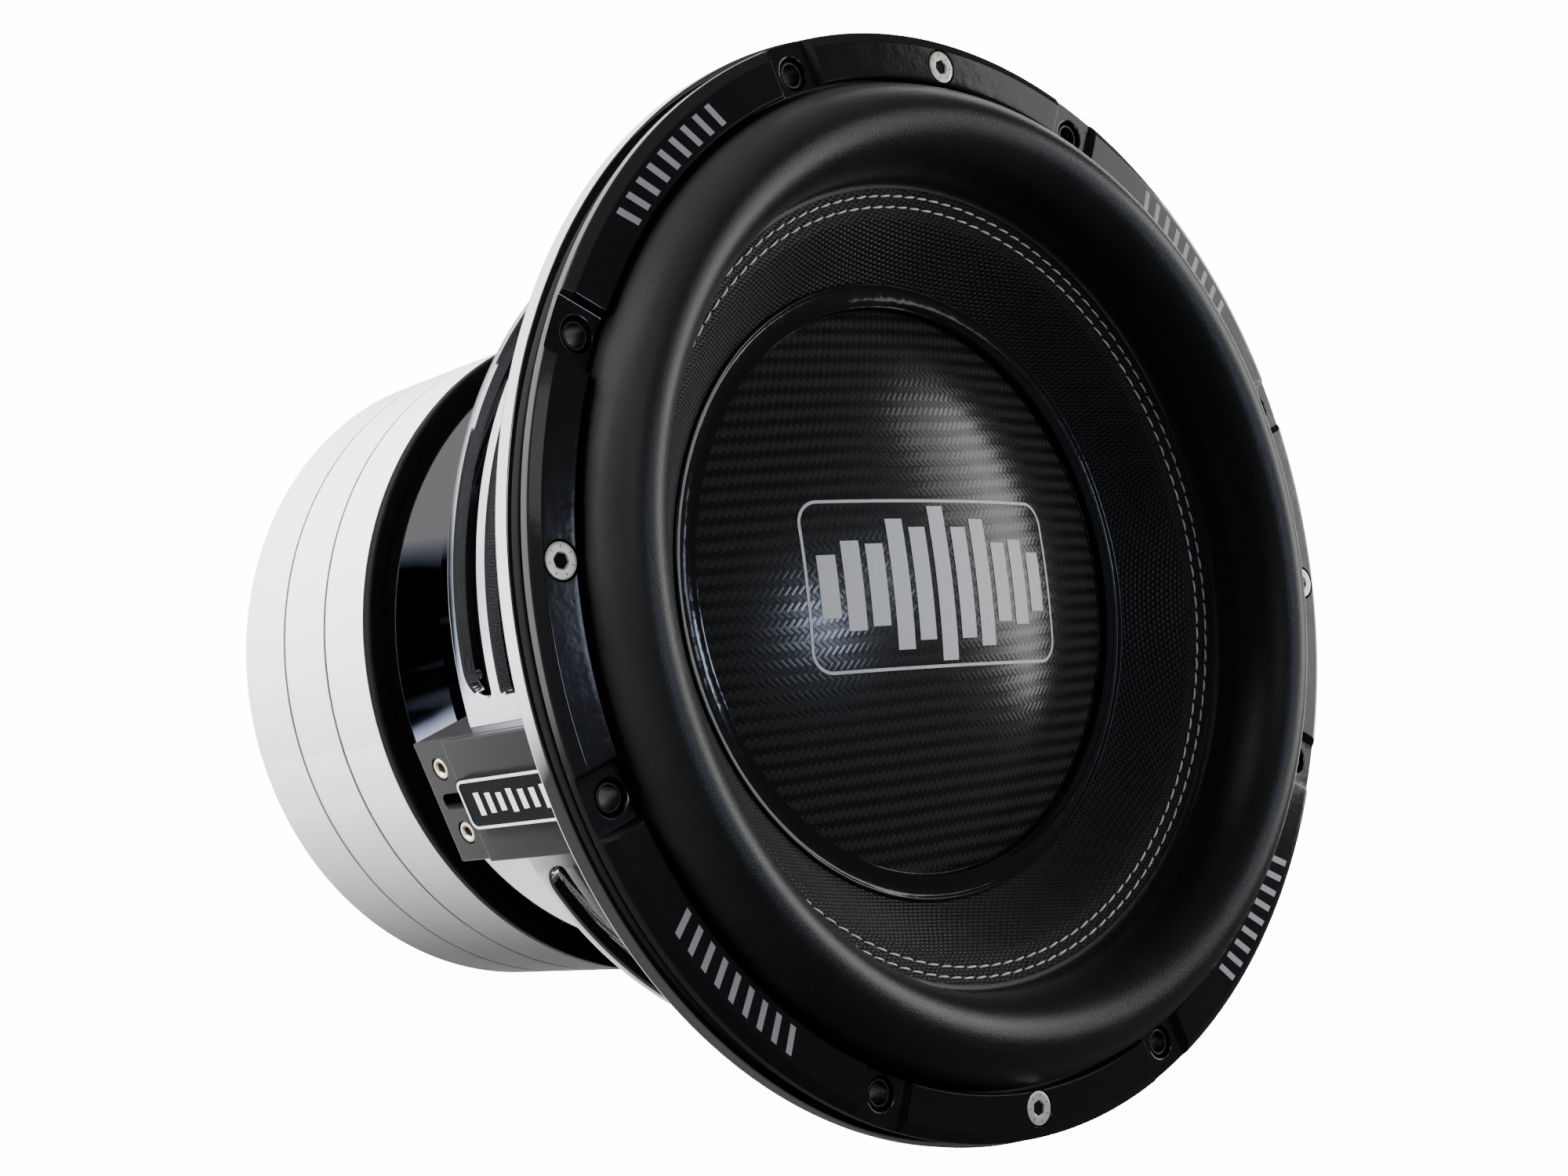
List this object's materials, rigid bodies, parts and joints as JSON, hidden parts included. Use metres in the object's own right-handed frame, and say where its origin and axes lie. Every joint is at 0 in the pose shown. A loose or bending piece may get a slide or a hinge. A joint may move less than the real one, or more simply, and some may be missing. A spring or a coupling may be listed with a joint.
{
  "type": "car subwoofer speaker",
  "caption": "Round long-throw car subwoofer driver with a plated basket, a deep stacked motor, a large roll surround, a woven cone and a domed gloss dust cap.",
  "frame": {"origin": "centre of the motor's rear face, at the bottom of the object's box", "axes": "+Z along the voice coil's axis out of the cone, +X towards a trim screw"},
  "size_m": [0.317, 0.317, 0.2474],
  "materials": {
    "brushed_steel": "satin turned steel",
    "plated_steel": "zinc-plated steel",
    "ferrite": "sintered ferrite, dull",
    "chrome": "dark mirror plating",
    "copper": "turned copper",
    "aluminium": "satin",
    "black_rubber": "matte moulded rubber",
    "black_foam": "closed-cell foam",
    "gloss_black": "polished lacquer",
    "screw_steel": "bright machined",
    "black_oxide": "black oxide, satin",
    "spider_cloth": "resin-dipped black cloth",
    "black_plastic": "moulded, satin",
    "coil_wire": "enamelled copper wire",
    "woven_cone": "coated woven fibre, satin",
    "clear_resin": "clear gloss adhesive over black",
    "carbon_gloss": "twill fibre under gloss resin",
    "gunmetal": "satin gunmetal",
    "brass": "gold-plated",
    "tinsel": "braided tinsel wire"
  },
  "bodies": {
    "frame": {"back_plate": "brushed_steel", "vent_screen": "black_oxide", "magnet_rear": "ferrite", "magnet_front": "ferrite", "top_plate": "plated_steel", "motor_cover_rear": "brushed_steel", "motor_cover_front": "brushed_steel", "pole_sleeve": "copper", "shorting_ring": "aluminium", "motor_seal_ring": "black_rubber", "basket": "chrome", "spider_lower": "spider_cloth", "spider_spacer": "black_plastic", "spider_upper": "spider_cloth", "surround": "black_rubber", "flange_gasket": "black_foam", "trim_ring": "gloss_black", "basket_bolt_1": "black_oxide", "trim_screw_1": "screw_steel", "tinsel_lead_1": "tinsel", "basket_bolt_2": "black_oxide", "trim_screw_2": "screw_steel", "tinsel_lead_2": "tinsel", "basket_bolt_3": "black_oxide", "trim_screw_3": "screw_steel", "tinsel_lead_3": "tinsel", "basket_bolt_4": "black_oxide", "trim_screw_4": "screw_steel", "tinsel_lead_4": "tinsel", "terminal_base_a": "gunmetal", "terminal_cover_a": "gunmetal", "label_plate_a": "gunmetal", "contact_block_a1": "brass", "base_screw_a1": "black_oxide", "contact_block_a2": "brass", "base_screw_a2": "black_oxide", "terminal_base_b": "gunmetal", "terminal_cover_b": "gunmetal", "label_plate_b": "gunmetal", "contact_block_b1": "brass", "base_screw_b1": "black_oxide", "contact_block_b2": "brass", "base_screw_b2": "black_oxide"},
    "moving_cone": {"coil_former": "aluminium", "coil_winding_inner": "coil_wire", "coil_winding_outer": "coil_wire", "cone": "woven_cone", "cap_ring": "clear_resin", "dust_cap": "carbon_gloss"},
    "screw_a1": {"set_screw_a1": "brass"},
    "screw_a2": {"set_screw_a2": "brass"},
    "screw_b1": {"set_screw_b1": "brass"},
    "screw_b2": {"set_screw_b2": "brass"}
  },
  "joints": [
    {"name": "cone_travel", "type": "slide", "parent": "frame", "child": "moving_cone", "axis": [0, 0, 1], "range_m": [-0.02, 0.02], "stiffness_N_per_m": 9000, "deforming": ["surround", "spider_lower", "spider_upper", "tinsel_lead_1", "tinsel_lead_2", "tinsel_lead_3", "tinsel_lead_4"]},
    {"name": "screw_a1_travel", "type": "slide", "parent": "frame", "child": "screw_a1", "axis": [-0.9239, -0.3827, 0], "range_m": [-0.0038, 0.002]},
    {"name": "screw_a2_travel", "type": "slide", "parent": "frame", "child": "screw_a2", "axis": [-0.9239, -0.3827, 0], "range_m": [-0.0038, 0.002]},
    {"name": "screw_b1_travel", "type": "slide", "parent": "frame", "child": "screw_b1", "axis": [0.9239, 0.3827, 0], "range_m": [-0.0038, 0.002]},
    {"name": "screw_b2_travel", "type": "slide", "parent": "frame", "child": "screw_b2", "axis": [0.9239, 0.3827, 0], "range_m": [-0.0038, 0.002]}
  ]
}
